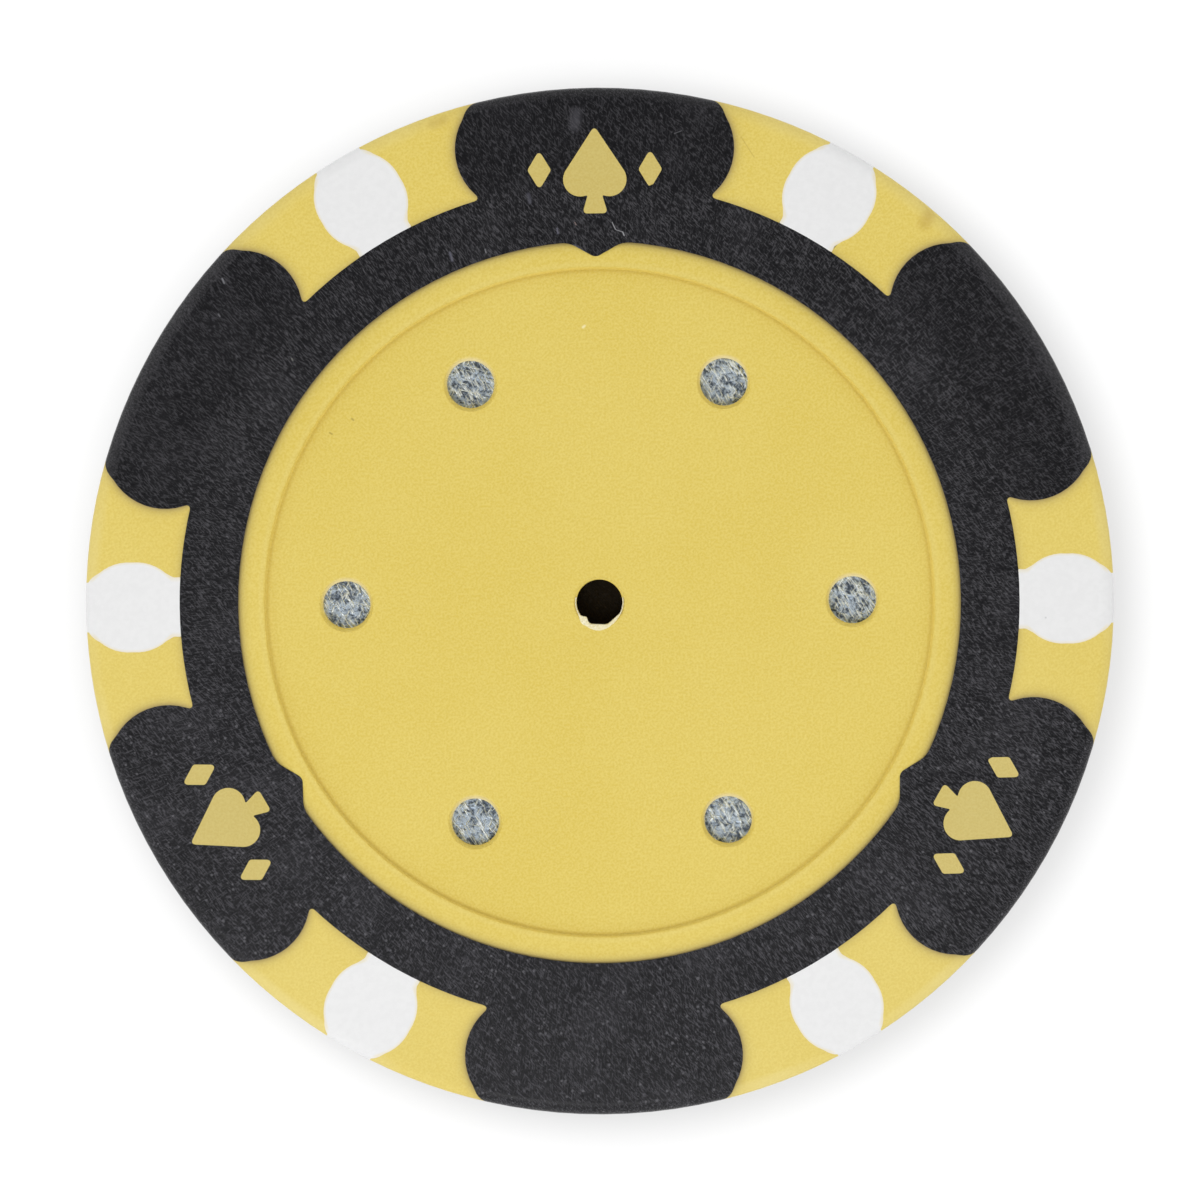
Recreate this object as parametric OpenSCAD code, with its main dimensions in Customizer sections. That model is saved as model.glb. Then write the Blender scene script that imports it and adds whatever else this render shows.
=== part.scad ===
// Poker chip of the moulded kind: a steel weight with a black plug in its middle, sealed in a yellow core,
// with a black frame and six white edge spots moulded round it. Both faces are alike.
// The origin is the middle of the underside.

/* [Chip] */
// Diameter over the rim
chip_d = 39; // [34:0.5:44]
// Thickness over the two faces
chip_t = 3.3; // [3:0.1:4]
// Width of the sloped band round each face, along the radius
rim_slope_w = 0.5; // [0.2:0.05:0.7]
// Height of the sloped band
rim_slope_h = 0.4; // [0.2:0.05:0.8]

/* [Label recess] */
// Depth of the recess that takes a round label on each face
recess_depth = 0.25; // [0.1:0.01:0.4]
// Radius at the foot of the recess wall
recess_foot_r = 0.08; // [0.05:0.01:0.2]
// Width of the bead between the recess and the black ring
bead_w = 1; // [0.6:0.05:1.6]
// Width of the level top of the bead
bead_land_w = 0.15; // [0.1:0.01:0.3]
// How far the bead falls towards the black ring
bead_drop = 0.08; // [0.03:0.01:0.15]
// Broken edge at the top of the recess wall
bead_lip = 0.05; // [0.02:0.01:0.08]

/* [Holes] */
// Diameter of the blind hole in the middle of each face
centre_hole_d = 1.75; // [1:0.05:2.2]
// Diameter of the round holes left by the pins that hold the weight in the mould
pin_hole_d = 1.8; // [1:0.05:2.6]
// Distance from the recess wall to the circle that the pin holes lie on
pin_inset = 3.1; // [1.6:0.1:6]
// Number of pin holes on each face
pin_count = 6; // [3:1:9]
// Broken edge round the mouth of each hole
hole_lip = 0.1; // [0.03:0.01:0.15]

/* [Weight] */
// Width of plastic between the edge of the steel weight and the rim
slug_margin = 6; // [4.5:0.1:7.5]
// Thickness of the steel weight
slug_t = 1.6; // [1:0.1:1.9]
// Diameter of the hole through the weight, which the plug fills
slug_hole_d = 2.6; // [2.4:0.1:5]
// Broken edge of the weight
slug_edge = 0.12; // [0.05:0.01:0.3]
// Least cover of yellow over the weight, under the black and the white
slug_cover = 0.15; // [0.1:0.01:0.2]
// Thickness of the wall left in the middle of the plug, between the holes from the two faces
plug_wall_t = 0.4; // [0.2:0.05:0.8]

/* [Black frame] */
// Width of the band of pads, fields and spots between the black ring and the rim
band_w = 3.58; // [3.2:0.02:4]
// Width of the black ring
ring_w = 2.22; // [1.4:0.02:3]
// Number of pads, and of white spots between them
pad_count = 6; // [4:2:6]
// Width of a pad across its bulging ends
pad_w = 10.56; // [8.4:0.02:12]
// Radius of the bulging ends of a pad
pad_end_r = 2.3; // [2:0.05:2.6]
// Depth of the black and the white under each face
layer_t = 0.6; // [0.4:0.05:0.7]
// Thickness of the black and the white walls at the rim
rim_wall = 1; // [0.8:0.05:1.4]
// Width of the point that the ring sends into the bead, below each figure
point_w = 2.2; // [1.6:0.1:4]

/* [White spots] */
// Width of a spot
spot_w = 3.42; // [2.8:0.02:4.2]
// Distance between the centres of the two round ends of a spot
spot_stretch = 0.3; // [0.1:0.02:0.6]
// Width of a spot where it meets the rim
spot_tab_w = 1.88; // [1.2:0.02:2.4]
// Width of the narrowest place of a spot, near the black ring
spot_neck_w = 2.24; // [1.6:0.02:2.6]
// Length of the neck that widens towards the black ring
spot_neck_l = 0.35; // [0.2:0.01:0.5]
// How far each side of the neck widens at the black ring
spot_flare = 0.22; // [0.05:0.01:0.4]

/* [Figures on the pads] */
// Width of the spade
spade_w = 2.4; // [1.8:0.1:2.8]
// Height of the spade
spade_h = 3.3; // [2.6:0.1:3.6]
// Width of a lozenge
lozenge_w = 0.9; // [0.6:0.05:1.2]
// Height of a lozenge
lozenge_h = 1.5; // [1:0.05:2]
// Gap between the spade and a lozenge
figure_gap = 0.45; // [0.3:0.05:0.7]
// Black left between the spade's tip and the inside of the rim wall
figure_inset = 0.45; // [0.2:0.05:0.8]

/* [Hidden] */
// How far cutting shapes run past what they cut
overrun = 0.5;
chip_r = chip_d / 2;
web_r = chip_r - rim_wall;
// The band, the ring and the bead leave the recess in the middle, 25.4 across for a one-inch label
ring_outer_r = chip_r - band_w;
ring_inner_r = ring_outer_r - ring_w;
recess_r = ring_inner_r - bead_w;
recess_z = chip_t - recess_depth;
// The foot's round leaves a strip of upright wall below the broken edge
foot_limit_share = 0.8;
foot_r = min(recess_foot_r, foot_limit_share * (recess_depth - bead_lip));
pin_circle_r = recess_r - pin_inset;
slug_r = chip_r - slug_margin;
slug_top_z = (chip_t + slug_t) / 2;
slug_low_z = chip_t - slug_top_z;

// The bead's top is an arc about a centre below the recess wall, through the land's edge and the drop
bead_arc_down = (bead_w ^ 2 + bead_drop ^ 2 - bead_land_w ^ 2) / (2 * bead_drop);
bead_arc_r = sqrt(bead_land_w ^ 2 + bead_arc_down ^ 2);

// The bulging ends of the pads lie on a circle in the band outside the ring
pad_ends_share = 0.36;
pad_ends_r = ring_outer_r + pad_ends_share * band_w;
pad_step = 360 / pad_count;
// Every second pad has the figures, and a point below them
figure_pads = [0 : 2 : pad_count - 1];
point_reach_share = 0.62;
point_tip_r = ring_inner_r - point_reach_share * bead_w;
spot_r = spot_w / 2;
spot_centre_r = (ring_outer_r + chip_r) / 2;

// The figures stand in from the rim wall
figure_r = web_r - figure_inset - spade_h / 2;
lobe_r_share = 0.27;
lobe_down_share = 0.11;
stem_top_share = 0.08;
stem_foot_share = 0.4;
shoulder_angle = 28;

$fn = 128;

// Turns its children from +Y to the middle of a pad
module at_pad(i) {
    rotate(i * pad_step) children();
}

// Turns its children from +Y to the middle of a white spot
module at_spot(i) {
    rotate((i - 0.5) * pad_step) children();
}

// The children, made for the upper face, on both faces
module both_faces() {
    children();
    translate([0, 0, chip_t]) mirror([0, 0, 1]) children();
}

// The whole chip's outer form, a disc with a sloped band round each face
module chip_blank() {
    rotate_extrude()
        polygon([
            [0, 0],
            [chip_r - rim_slope_w, 0],
            [chip_r, rim_slope_h],
            [chip_r, chip_t - rim_slope_h],
            [chip_r - rim_slope_w, chip_t],
            [0, chip_t]
        ]);
}

// Half section of the recess, with its rounded foot and the broken edge at its top
module recess_section() {
    difference() {
        translate([0, recess_z]) square([recess_r, recess_depth + overrun]);
        translate([recess_r - foot_r, recess_z])
            difference() {
                square(foot_r);
                translate([0, foot_r]) circle(foot_r);
            }
    }
    polygon([
        [recess_r - bead_lip, chip_t - 2 * bead_lip],
        [recess_r + bead_lip, chip_t],
        [recess_r + bead_lip, chip_t + overrun],
        [recess_r - bead_lip, chip_t + overrun]
    ]);
}

// Half section of what the bead's fall takes off the core, running on under the black ring
module bead_section() {
    difference() {
        translate([recess_r, chip_t - layer_t / 2]) square([bead_w + ring_w / 3, layer_t / 2 + overrun]);
        translate([recess_r, chip_t - bead_arc_down]) circle(bead_arc_r);
    }
}

// The inside of the core, which the black and the white never reach
module core_web() {
    translate([0, 0, layer_t]) cylinder(r = web_r, h = chip_t - 2 * layer_t);
    translate([0, 0, slug_low_z - slug_cover])
        cylinder(r = slug_r + slug_cover, h = slug_t + 2 * slug_cover);
}

// Room for a moulding of the outline given: a layer under each face, joined by a wall at the rim
module moulding_room() {
    difference() {
        translate([0, 0, -overrun]) linear_extrude(chip_t + 2 * overrun) children();
        core_web();
    }
}

// Outline of a pad: bulging ends and a block that runs past the rim
module pad_outline() {
    end_x = pad_w / 2 - pad_end_r;
    for (side = [-1, 1])
        translate([side * end_x, pad_ends_r]) circle(pad_end_r);
    translate([-end_x, ring_inner_r + ring_w / 2]) square([2 * end_x, band_w + ring_w]);
}

// Outline of the point that the ring sends into the bead
module point_outline() {
    polygon([
        [0, point_tip_r],
        [point_w / 2, ring_inner_r],
        [point_w / 2, ring_inner_r + ring_w / 2],
        [-point_w / 2, ring_inner_r + ring_w / 2],
        [-point_w / 2, ring_inner_r]
    ]);
}

// Outline of a spade about its middle: two round lobes, a blade over them and a stem below
module spade_outline() {
    lobe_r = lobe_r_share * spade_w;
    lobe_x = spade_w / 2 - lobe_r;
    lobe_y = -lobe_down_share * spade_h;
    shoulder_x = lobe_x + lobe_r * cos(shoulder_angle);
    shoulder_y = lobe_y + lobe_r * sin(shoulder_angle);
    for (side = [-1, 1])
        translate([side * lobe_x, lobe_y]) circle(lobe_r);
    polygon([[0, spade_h / 2], [-shoulder_x, shoulder_y], [0, lobe_y - lobe_r / 2], [shoulder_x, shoulder_y]]);
    polygon([
        [-stem_top_share * spade_w / 2, lobe_y],
        [-stem_foot_share * spade_w / 2, -spade_h / 2],
        [stem_foot_share * spade_w / 2, -spade_h / 2],
        [stem_top_share * spade_w / 2, lobe_y]
    ]);
}

// Outline of a lozenge about its middle
module lozenge_outline() {
    polygon([[lozenge_w / 2, 0], [0, lozenge_h / 2], [-lozenge_w / 2, 0], [0, -lozenge_h / 2]]);
}

// Outline of the figures on one pad: a spade between two lozenges
module figures_outline() {
    lozenge_x = (spade_w + lozenge_w) / 2 + figure_gap;
    translate([0, figure_r]) {
        spade_outline();
        for (side = [-1, 1])
            translate([side * lozenge_x, 0]) lozenge_outline();
    }
}

// Outline of the black frame, open where the core's figures stand in it
module frame_outline() {
    difference() {
        union() {
            difference() {
                circle(ring_outer_r);
                circle(ring_inner_r);
            }
            for (i = [0 : pad_count - 1])
                at_pad(i) pad_outline();
            for (i = figure_pads)
                at_pad(i) point_outline();
        }
        for (i = figure_pads)
            at_pad(i) figures_outline();
    }
}

// Outline of a white spot, which runs past the rim and into the ring
module spot_outline() {
    for (side = [-1, 1])
        translate([0, spot_centre_r + side * spot_stretch / 2]) circle(spot_r);
    translate([-spot_tab_w / 2, spot_centre_r]) square([spot_tab_w, band_w]);
    polygon([
        [-spot_neck_w / 2, ring_outer_r + spot_neck_l],
        [-spot_neck_w / 2 - spot_flare, ring_outer_r],
        [-spot_neck_w / 2 - spot_flare, ring_outer_r - ring_w / 2],
        [spot_neck_w / 2 + spot_flare, ring_outer_r - ring_w / 2],
        [spot_neck_w / 2 + spot_flare, ring_outer_r],
        [spot_neck_w / 2, ring_outer_r + spot_neck_l]
    ]);
}

// The weight's own form, without the hole in its middle, which is also the room for it in the core
module slug_form() {
    rotate_extrude()
        polygon([
            [0, slug_low_z],
            [slug_r - slug_edge, slug_low_z],
            [slug_r, slug_low_z + slug_edge],
            [slug_r, slug_top_z - slug_edge],
            [slug_r - slug_edge, slug_top_z],
            [0, slug_top_z]
        ]);
}

// A hole of diameter d from the floor of the upper recess down to the weight, with a broken edge at its mouth
module core_hole(d) {
    translate([0, 0, slug_top_z]) cylinder(d = d, h = chip_t);
    translate([0, 0, recess_z - hole_lip]) cylinder(d1 = d, d2 = d + 4 * hole_lip, h = 2 * hole_lip);
}

// The holes of the core on both faces: one in the middle down to the plug, and the pin holes down to the weight
module core_holes() {
    both_faces() {
        core_hole(centre_hole_d);
        for (i = [0 : pin_count - 1])
            rotate(i * 360 / pin_count) translate([pin_circle_r, 0]) core_hole(pin_hole_d);
    }
}

// Sub-part: the steel weight, a punched disc
module steel_slug() {
    color("silver")
        difference() {
            slug_form();
            translate([0, 0, slug_low_z - overrun]) cylinder(d = slug_hole_d, h = slug_t + 2 * overrun);
        }
}

// Sub-part: the black plug in the middle of the weight, with a blind hole from each face
module centre_plug() {
    color("dimgray")
        difference() {
            translate([0, 0, slug_low_z]) cylinder(d = slug_hole_d, h = slug_t);
            both_faces()
                translate([0, 0, (chip_t + plug_wall_t) / 2]) cylinder(d = centre_hole_d, h = chip_t);
        }
}

// The core's disc with a recess and a bead on each face
module core_disc() {
    difference() {
        chip_blank();
        both_faces() rotate_extrude() {
            recess_section();
            bead_section();
        }
    }
}

// The core's disc with room for the black frame and the white spots
module keyed_core_disc() {
    difference() {
        core_disc();
        moulding_room() {
            frame_outline();
            for (i = [1 : pad_count])
                at_spot(i) spot_outline();
        }
    }
}

// Sub-part: the yellow core, moulded round the weight and round the pins that hold it
module yellow_core() {
    color("khaki")
        difference() {
            difference() {
                keyed_core_disc();
                slug_form();
            }
            core_holes();
        }
}

// Sub-part: the black frame, a ring and six pads on each face
module black_frame() {
    color("dimgray")
        intersection() {
            chip_blank();
            moulding_room() frame_outline();
        }
}

// Sub-part: one white spot
module white_spot(i) {
    color("white")
        intersection() {
            chip_blank();
            moulding_room()
                difference() {
                    at_spot(i) spot_outline();
                    circle(ring_outer_r);
                }
        }
}

steel_slug();
centre_plug();
yellow_core();
black_frame();
for (i = [1 : pad_count])
    white_spot(i);
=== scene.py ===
"""Looks of a moulded poker chip: softened edges, finishes, marks of use, stage and camera.

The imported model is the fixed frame. Lengths are in metres where nothing else is said, and the chip lies
on the floor with its axis along +Z.
"""

import logging
import math
from dataclasses import dataclass, field
from enum import Enum
from typing import Any, Callable, Dict, List, NamedTuple, Sequence, Tuple, Union

import bmesh
import bpy
from mathutils import Matrix, Vector

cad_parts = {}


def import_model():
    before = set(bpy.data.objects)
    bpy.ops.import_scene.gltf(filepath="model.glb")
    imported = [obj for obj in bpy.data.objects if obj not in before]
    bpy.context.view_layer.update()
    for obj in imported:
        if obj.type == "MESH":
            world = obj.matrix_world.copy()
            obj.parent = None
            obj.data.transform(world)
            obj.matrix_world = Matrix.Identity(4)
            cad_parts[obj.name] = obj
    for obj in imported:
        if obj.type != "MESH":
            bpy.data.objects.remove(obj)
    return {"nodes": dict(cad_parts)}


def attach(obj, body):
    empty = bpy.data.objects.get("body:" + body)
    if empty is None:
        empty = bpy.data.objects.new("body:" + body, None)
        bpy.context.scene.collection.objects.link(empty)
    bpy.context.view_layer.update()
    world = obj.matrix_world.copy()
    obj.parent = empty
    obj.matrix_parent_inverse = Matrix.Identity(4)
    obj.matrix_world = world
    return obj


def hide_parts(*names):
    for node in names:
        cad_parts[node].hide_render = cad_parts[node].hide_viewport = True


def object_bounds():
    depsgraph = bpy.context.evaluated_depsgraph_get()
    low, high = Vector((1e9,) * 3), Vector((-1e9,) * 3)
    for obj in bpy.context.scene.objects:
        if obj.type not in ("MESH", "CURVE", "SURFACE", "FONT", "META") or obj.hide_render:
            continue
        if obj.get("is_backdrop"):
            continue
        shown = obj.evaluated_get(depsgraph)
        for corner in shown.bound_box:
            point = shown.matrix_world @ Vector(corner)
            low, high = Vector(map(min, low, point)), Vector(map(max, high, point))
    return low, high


LOG = logging.getLogger("poker_chip")
MM = 0.001
# Heights of the upper face and of the floor of its recess, in millimetres
FACE_Z = 3.3
RECESS_Z = 3.05
# Angle from one white spot, pad or pin hole to the next
SPOT_STEP = math.pi / 3
# Radius of the circle on which the pin holes lie, and of a pin hole
PIN_CIRCLE = 9.6 * MM
PIN_ROUND = 0.9 * MM
# The sRGB standard: fullest channel, end and slope of the straight stretch, shift and power of the curve
CHANNEL_TOP = 255
STRAIGHT_END = 0.04045
STRAIGHT_SLOPE = 12.92
CURVE_SHIFT = 0.055
CURVE_POWER = 2.4

Colour = Tuple[float, float, float, float]
Span = Tuple[float, float]
Socket = bpy.types.NodeSocket
Feed = Union[float, Sequence[float], Socket]


class Slot(Enum):
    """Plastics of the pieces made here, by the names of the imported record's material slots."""

    YELLOW = "yellow_plastic"
    BLACK = "black_plastic"
    WHITE = "white_plastic"


class Kind(Enum):
    """Socket types of the shared node groups."""

    VALUE = "NodeSocketFloat"
    VECTOR = "NodeSocketVector"


def srgb(red: float, green: float, blue: float) -> Colour:
    """Turns a colour as a picture shows it into the linear colour that shaders take.

    Args:
        red: Red from 0 to 255.
        green: Green from 0 to 255.
        blue: Blue from 0 to 255.

    Returns:
        The linear colour with full alpha.
    """
    linear = []
    for share in (channel / CHANNEL_TOP for channel in (red, green, blue)):
        curved = ((share + CURVE_SHIFT) / (1 + CURVE_SHIFT)) ** CURVE_POWER
        linear.append(share / STRAIGHT_SLOPE if share <= STRAIGHT_END else curved)
    return (*linear, 1.0)


def link_object(name: str, data: bpy.types.ID) -> bpy.types.Object:
    """Makes an object in the scene.

    Args:
        name: Name of the object.
        data: Its mesh, lamp or camera.

    Returns:
        The new object.
    """
    made = bpy.data.objects.new(name, data)
    bpy.context.scene.collection.objects.link(made)
    return made


def mesh_object(name: str, work: bmesh.types.BMesh) -> bpy.types.Object:
    """Makes an object of a worked mesh, which is freed.

    Args:
        name: Name of the object and of its mesh.
        work: The worked mesh.

    Returns:
        The new object.
    """
    mesh = bpy.data.meshes.new(name)
    work.to_mesh(mesh)
    work.free()
    return link_object(name, mesh)


class Graph:
    """Adds and links nodes in one node tree."""

    def __init__(self, tree: bpy.types.NodeTree) -> None:
        """Keeps the tree that the nodes go into."""
        self.tree = tree

    def node(self, kind: str, *values: Feed, **settings: Any) -> bpy.types.Node:
        """Adds a node.

        Args:
            kind: Blender's name of the node type.
            values: What its inputs take, in order.
            settings: Properties of the node, such as its operation.

        Returns:
            The new node.
        """
        made = self.tree.nodes.new(kind)
        for name, setting in settings.items():
            setattr(made, name, setting)
        for socket, value in zip(made.inputs, values):
            self.feed(socket, value)
        return made

    def feed(self, socket: Socket, value: Feed) -> None:
        """Links a socket to another one, or sets its own value.

        Args:
            socket: The input to feed.
            value: A socket to link from, or a plain value.
        """
        if isinstance(value, bpy.types.NodeSocket):
            self.tree.links.new(value, socket)
        else:
            socket.default_value = value

    def math(self, operation: str, *values: Feed, clamp: bool = False) -> Socket:
        """Adds a Math node and gives its result, held from 0 to 1 where it is clamped."""
        return self.node("ShaderNodeMath", *values, operation=operation, use_clamp=clamp).outputs[0]

    def vector_math(self, operation: str, *values: Feed) -> Socket:
        """Adds a Vector Math node and gives its result, a value for a length and otherwise a vector."""
        made = self.node("ShaderNodeVectorMath", *values, operation=operation)
        return made.outputs["Value" if operation == "LENGTH" else "Vector"]

    def parts(self, vector: Feed) -> List[Socket]:
        """Splits a vector into its X, Y and Z."""
        return list(self.node("ShaderNodeSeparateXYZ", vector).outputs)

    def join(self, x: Feed, y: Feed, z: Feed = 0.0) -> Socket:
        """Joins three values to a vector."""
        return self.node("ShaderNodeCombineXYZ", x, y, z).outputs[0]

    def radius(self, place: Feed) -> Socket:
        """Gives the distance of a place from the chip's axis."""
        return self.vector_math("LENGTH", self.vector_math("MULTIPLY", place, (1.0, 1.0, 0.0)))

    def away(self, value: Feed, middle: Feed) -> Socket:
        """Gives how far a value lies from a middle, to either side."""
        return self.math("ABSOLUTE", self.math("SUBTRACT", value, middle))

    def weighted(self, values: Sequence[Feed], weights: Span) -> Socket:
        """Adds two values, each times its weight."""
        return self.math("ADD", *(self.math("MULTIPLY", *pair) for pair in zip(values, weights)))

    def remap(self, value: Feed, low: Feed, high: Feed, to_low: Feed = 0.0, to_high: Feed = 1.0) -> Socket:
        """Maps a value from one range to another with a smooth step, and holds it at the ends."""
        values = (value, low, high, to_low, to_high)
        return self.node("ShaderNodeMapRange", *values, interpolation_type="SMOOTHSTEP").outputs["Result"]

    def along(self, vector: Feed, direction: Feed) -> List[Socket]:
        """Splits a vector along and across a direction.

        Args:
            vector: The vector to split.
            direction: The direction's angle from +X, in radians.

        Returns:
            The sockets of its length along and across the direction, and of its Z.
        """
        turn = self.node("ShaderNodeVectorRotate", vector, rotation_type="Z_AXIS")
        self.feed(turn.inputs["Angle"], self.math("MULTIPLY", direction, -1.0))
        return self.parts(turn.outputs["Vector"])

    def noise(self, place: Feed, scale: Feed, detail: float) -> Socket:
        """Adds a noise texture.

        Args:
            place: Where the noise is read.
            scale: Cells in a metre of the place.
            detail: Number of finer layers.

        Returns:
            The socket of the noise's value, about 0.5 on average.
        """
        made = self.node("ShaderNodeTexNoise", place, noise_dimensions="3D")
        self.feed(made.inputs["Scale"], scale)
        self.feed(made.inputs["Detail"], detail)
        return made.outputs["Fac"]

    def mix(self, share: Feed, first: Feed, second: Feed) -> Socket:
        """Mixes two colours.

        Args:
            share: Share of the second colour.
            first: Colour where the share is 0.
            second: Colour where the share is 1.

        Returns:
            The socket of the mixed colour.
        """
        made = self.node("ShaderNodeMix", data_type="RGBA")
        self.feed(made.inputs["Factor"], share)
        colours = [socket for socket in made.inputs if socket.type == "RGBA"]
        for socket, colour in zip(colours, (first, second)):
            self.feed(socket, colour)
        return next(socket for socket in made.outputs if socket.type == "RGBA")

    def place(self, group: bpy.types.NodeTree, **values: Feed) -> Socket:
        """Places a shared node group.

        Args:
            group: The group to place.
            values: What its inputs take, with _ for a space in their names.

        Returns:
            The group's first output.
        """
        made = self.node("ShaderNodeGroup", node_tree=group)
        for name, value in values.items():
            self.feed(made.inputs[name.replace("_", " ")], value)
        return made.outputs[0]


Sockets = Dict[str, Socket]
Fill = Callable[[Graph, Sockets], Socket]


@dataclass
class SharedEffects:
    """Node groups that several finishes place, each built once.

    Attributes:
        vectors: Names of the inputs that are vectors.
        grain_edges: Noise at which the grain starts to rise and is full.
        grain_detail: Number of finer layers in the grain.
        wave_share: Waves of the strokes' wandering in the length of a stroke.
        wave_middle: Middle of the noise from which those waves come.
        stroke_detail: Number of finer layers in the strokes.
        stroke_start: Noise at which strokes without cover start.
        stroke_cover: How much sooner they start under full cover.
        stroke_rise: How much more noise makes them full.
        speck_core: Share of a speck's reach that is full.
    """

    vectors: Tuple[str, ...] = ("Vector", "Place")
    grain_edges: Span = (0.3, 0.7)
    grain_detail: float = 2.0
    wave_share: float = 0.12
    wave_middle: float = 0.5
    stroke_detail: float = 1.0
    stroke_start: float = 0.72
    stroke_cover: float = 0.4
    stroke_rise: float = 0.22
    speck_core: float = 0.4
    _built: Dict[str, bpy.types.NodeTree] = field(default_factory=dict)

    def _group(self, name: str, inputs: Sequence[str], fill: Fill) -> bpy.types.NodeTree:
        """Builds a group with one output on its first use.

        Args:
            name: Name of the group.
            inputs: Names of its inputs.
            fill: Makes the group's nodes from its graph and inputs, and gives the socket to put out.

        Returns:
            The group.
        """
        if name not in self._built:
            tree = bpy.data.node_groups.new(name, "ShaderNodeTree")
            for label in inputs:
                kind = Kind.VECTOR if label in self.vectors else Kind.VALUE
                tree.interface.new_socket(name=label, in_out="INPUT", socket_type=kind.value)
            tree.interface.new_socket(name="Result", in_out="OUTPUT", socket_type=Kind.VALUE.value)
            graph = Graph(tree)
            entry = graph.node("NodeGroupInput")
            graph.node("NodeGroupOutput", fill(graph, {label: entry.outputs[label] for label in inputs}))
            self._built[name] = tree
        return self._built[name]

    def grain(self) -> bpy.types.NodeTree:
        """Gives even grain from 0 to 1, with grains of the size set."""

        def fill(graph: Graph, ins: Sockets) -> Socket:
            """Makes the grain's nodes."""
            scale = graph.math("DIVIDE", 1.0, ins["Size"])
            return graph.remap(graph.noise(ins["Vector"], scale, self.grain_detail), *self.grain_edges)

        return self._group("even_grain", ("Vector", "Size"), fill)

    def strokes(self) -> bpy.types.NodeTree:
        """Gives short strokes along one direction, which wander a little over the surface."""

        def fill(graph: Graph, ins: Sockets) -> Socket:
            """Makes the strokes' nodes. See _group for the arguments and the result."""
            wave_scale = graph.math("DIVIDE", self.wave_share, ins["Length"])
            wave = graph.noise(ins["Vector"], wave_scale, self.stroke_detail)
            shift = graph.math("MULTIPLY", graph.math("SUBTRACT", wave, self.wave_middle), ins["Wander"])
            along, across, high = graph.along(ins["Vector"], ins["Direction"])
            drawn = graph.join(
                graph.math("DIVIDE", along, ins["Length"]),
                graph.math("DIVIDE", graph.math("ADD", across, shift), ins["Width"]),
                graph.math("DIVIDE", high, ins["Width"]),
            )
            stroke = graph.noise(drawn, 1.0, self.stroke_detail)
            sooner = graph.math("MULTIPLY", ins["Cover"], self.stroke_cover)
            start = graph.math("SUBTRACT", self.stroke_start, sooner)
            return graph.remap(stroke, start, graph.math("ADD", start, self.stroke_rise))

        inputs = ("Vector", "Direction", "Length", "Width", "Wander", "Cover")
        return self._group("drawn_strokes", inputs, fill)

    def specks(self) -> bpy.types.NodeTree:
        """Gives stray round specks, some of the cells of a loose grid having one."""

        def fill(graph: Graph, ins: Sockets) -> Socket:
            """Makes the specks' nodes. See _group for the arguments and the result."""
            cells = graph.node("ShaderNodeTexVoronoi", feature="F1")
            graph.feed(cells.inputs["Vector"], ins["Vector"])
            graph.feed(cells.inputs["Scale"], graph.math("DIVIDE", 1.0, ins["Spacing"]))
            draw = graph.node("ShaderNodeSeparateColor", cells.outputs["Color"])
            away = graph.math("MULTIPLY", cells.outputs["Distance"], ins["Spacing"])
            reach = graph.math("MULTIPLY", ins["Size"], draw.outputs[0])
            spot = graph.remap(away, graph.math("MULTIPLY", reach, self.speck_core), reach, 1.0, 0.0)
            chosen = graph.math("LESS_THAN", draw.outputs[1], ins["Share"])
            return graph.math("MULTIPLY", spot, chosen)

        return self._group("stray_specks", ("Vector", "Spacing", "Size", "Share"), fill)

    def lobes(self) -> bpy.types.NodeTree:
        """Gives the distance from the outline of six like lobes round the axis, below 0 inside them."""

        def fill(graph: Graph, ins: Sockets) -> Socket:
            """Makes the nodes of the lobes' distance. See _group for the arguments and the result."""
            x, y, _ = graph.parts(ins["Vector"])
            radius = graph.radius(ins["Vector"])
            turn = graph.math("SUBTRACT", graph.math("ARCTAN2", y, x), ins["Turn"])
            sector = graph.math("WRAP", turn, SPOT_STEP / 2, -SPOT_STEP / 2)
            outwards = graph.math("MULTIPLY", radius, graph.math("COSINE", sector))
            across = graph.math("ABSOLUTE", graph.math("MULTIPLY", radius, graph.math("SINE", sector)))
            past = graph.math("SUBTRACT", across, ins["Half Width"])
            beyond = graph.math("SUBTRACT", graph.away(outwards, ins["Reach"]), ins["Half Length"])
            corner = graph.join(*(graph.math("MAXIMUM", side, 0.0) for side in (past, beyond)))
            return graph.math("SUBTRACT", graph.vector_math("LENGTH", corner), ins["Round"])

        inputs = ("Vector", "Turn", "Reach", "Half Width", "Half Length", "Round")
        return self._group("six_lobes", inputs, fill)

    def mark(self) -> bpy.types.NodeTree:
        """Gives one mark, a soft-edged bar with round ends at a place on the surface."""

        def fill(graph: Graph, ins: Sockets) -> Socket:
            """Makes the mark's nodes. See _group for the arguments and the result."""
            from_middle = graph.vector_math("SUBTRACT", ins["Vector"], ins["Place"])
            along, across, high = graph.along(from_middle, ins["Direction"])
            past = graph.math("SUBTRACT", graph.math("ABSOLUTE", along), ins["Half Length"])
            away = graph.vector_math("LENGTH", graph.join(graph.math("MAXIMUM", past, 0.0), across, high))
            return graph.remap(away, 0.0, ins["Half Width"], 1.0, 0.0)

        inputs = ("Vector", "Place", "Direction", "Half Length", "Half Width")
        return self._group("single_mark", inputs, fill)


class Lobes(NamedTuple):
    """Six like lobes round the axis, such as pads, spots or holes.

    Attributes:
        reach: Radius of the circle on which the lobes' middles lie.
        round: Radius of their round ends.
        half_width: Half the distance between the ends, where they lie across the line from the axis.
        half_length: Half the distance between the ends, where they lie along that line.
        turn: Angle of the first lobe from +X.
    """

    reach: float
    round: float
    half_width: float = 0.0
    half_length: float = 0.0
    turn: float = 0.0


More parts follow.
